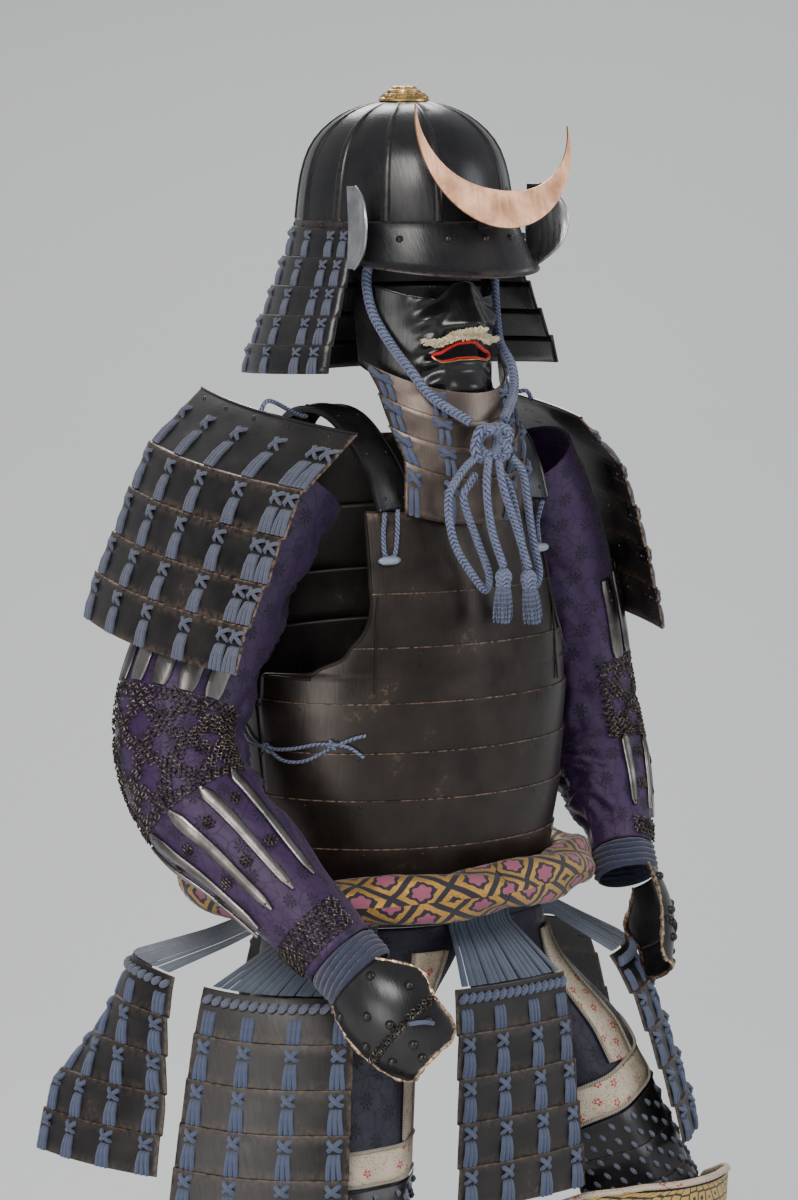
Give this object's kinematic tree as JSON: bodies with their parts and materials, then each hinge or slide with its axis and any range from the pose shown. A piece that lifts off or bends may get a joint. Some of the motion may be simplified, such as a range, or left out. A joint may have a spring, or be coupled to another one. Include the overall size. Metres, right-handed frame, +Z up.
{
  "type": "samurai armour",
  "caption": "Suit of laced plate armour, worn but empty: helmet with crescent crest, face mask, cuirass, shoulder shields, armoured sleeves, sash, tassets, thigh and shin guards.",
  "frame": {"origin": "middle of the wearer's shoulder line, where the suit is held", "axes": "+Z up, the wearer faces -Y, the wearer's right is at -X"},
  "size_m": [0.7594, 0.5518, 1.7565],
  "materials": {
    "black_lacquer": "gloss",
    "brown_lacquer": "worn satin",
    "polished_steel": "polished",
    "gilt_copper": "satin gilt copper",
    "gilt": "satin gilt",
    "mail": "dark iron mail",
    "fur": "cream hair",
    "braid": "blue-grey silk braid",
    "purple_brocade": "dark purple silk brocade",
    "gold_brocade": "lattice silk brocade",
    "navy_cloth": "matt",
    "blue_lace": "light blue silk lacing",
    "cream_leather": "printed leather"
  },
  "bodies": {
    "root": {"bow_loop_l": "braid", "bow_loop_r": "braid", "chin_cord_l": "braid", "chin_cord_r": "braid", "cord_knot": "braid", "cord_tail_l": "braid", "cord_tail_r": "braid", "crest": "gilt_copper", "crest_holder": "black_lacquer", "crown_ornament": "gilt", "cuirass_back": "brown_lacquer", "cuirass_front": "brown_lacquer", "elbow_mail_l": "mail", "elbow_mail_r": "mail", "forearm_splints_l": "polished_steel", "forearm_splints_r": "polished_steel", "haidate_belt": "cream_leather", "haidate_cloth_l": "purple_brocade", "haidate_cloth_r": "purple_brocade", "haidate_plates_l": "black_lacquer", "haidate_plates_r": "black_lacquer", "haidate_trim_l": "cream_leather", "haidate_trim_r": "cream_leather", "hand_guard_l": "black_lacquer", "hand_guard_r": "black_lacquer", "helmet_bowl": "black_lacquer", "helmet_brim": "black_lacquer", "mask": "black_lacquer", "moustache": "fur", "neck_guard": "black_lacquer", "sash": "gold_brocade", "shin_guard_l": "black_lacquer", "shin_guard_r": "black_lacquer", "shoulder_strap_l": "black_lacquer", "shoulder_strap_r": "black_lacquer", "side_tie": "blue_lace", "skirt_lacing": "blue_lace", "sleeve_l": "purple_brocade", "sleeve_r": "purple_brocade", "sode_cord_l": "blue_lace", "sode_cord_r": "blue_lace", "sode_l": "black_lacquer", "sode_r": "black_lacquer", "strap_cord_l": "blue_lace", "strap_cord_r": "blue_lace", "tassel_l": "braid", "tassel_r": "braid", "tasset_1": "black_lacquer", "tasset_2": "black_lacquer", "tasset_3": "black_lacquer", "tasset_4": "black_lacquer", "tasset_5": "black_lacquer", "tasset_6": "black_lacquer", "throat_guard": "brown_lacquer", "turnback_l": "polished_steel", "turnback_r": "polished_steel", "upper_splints_l": "polished_steel", "upper_splints_r": "polished_steel", "wrist_wrap_l": "navy_cloth", "wrist_wrap_r": "navy_cloth"}
  },
  "joints": []
}
